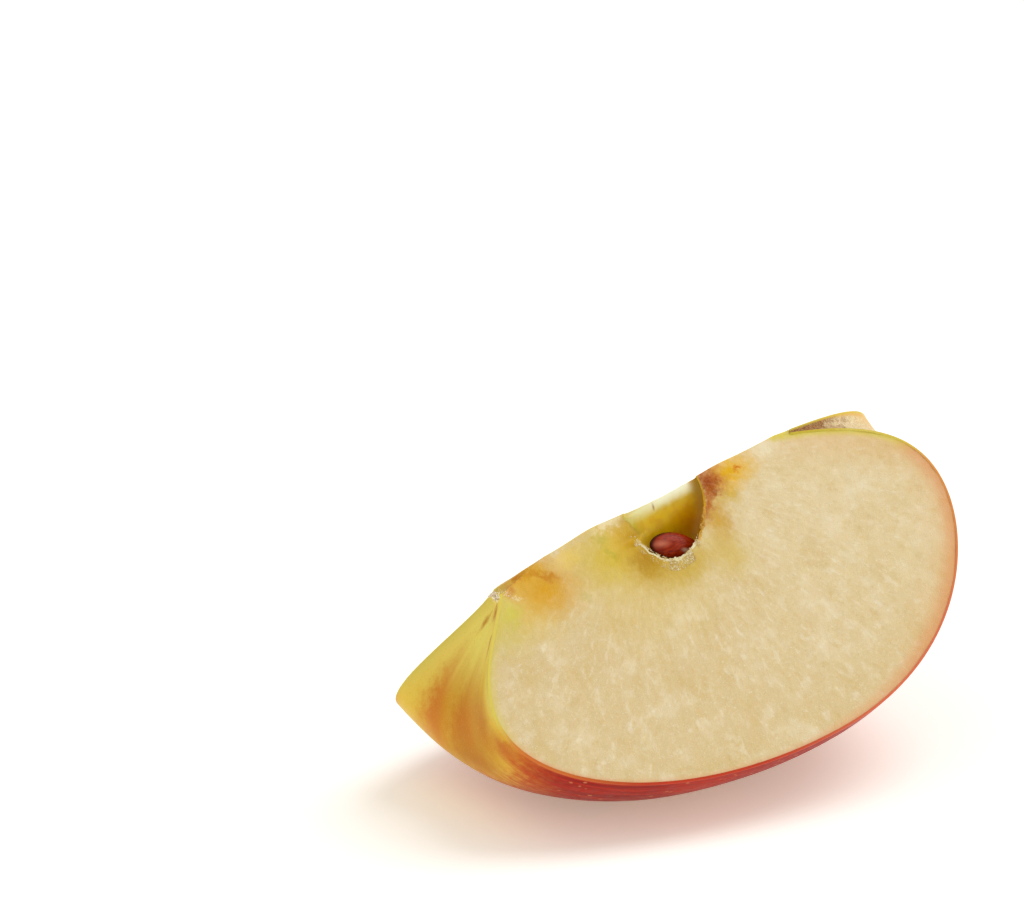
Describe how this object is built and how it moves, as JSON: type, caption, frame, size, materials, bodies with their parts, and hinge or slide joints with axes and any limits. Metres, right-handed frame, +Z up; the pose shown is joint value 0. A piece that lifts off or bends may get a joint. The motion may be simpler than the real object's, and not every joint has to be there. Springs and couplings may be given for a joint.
{
  "type": "apple wedge",
  "caption": "Wedge of about a quarter cut lengthways from a red eating apple, with an opened seed pocket and a seed, lying on its skin.",
  "frame": {"origin": "middle of the box in X and Y, on the surface that the wedge rests on", "axes": "+X towards the stem end, -Y towards the front cut with the seed, +Z up"},
  "size_m": [0.0722, 0.0486, 0.0412],
  "materials": {
    "skin": "thin waxy skin, deep red with golden yellow ground colour at the calyx end, fine streaks and pale dots",
    "flesh": "moist cream flesh as a knife leaves it, fine grained, slightly translucent",
    "core_lining": "smooth horny lining of the seed pocket, mustard yellow, glossy",
    "seed": "smooth reddish brown seed coat, glossy",
    "dried_calyx": "dry grey-brown stubs and pale fuzz"
  },
  "bodies": {
    "root": {"apple_wedge": "flesh", "seed": "seed"}
  },
  "joints": []
}
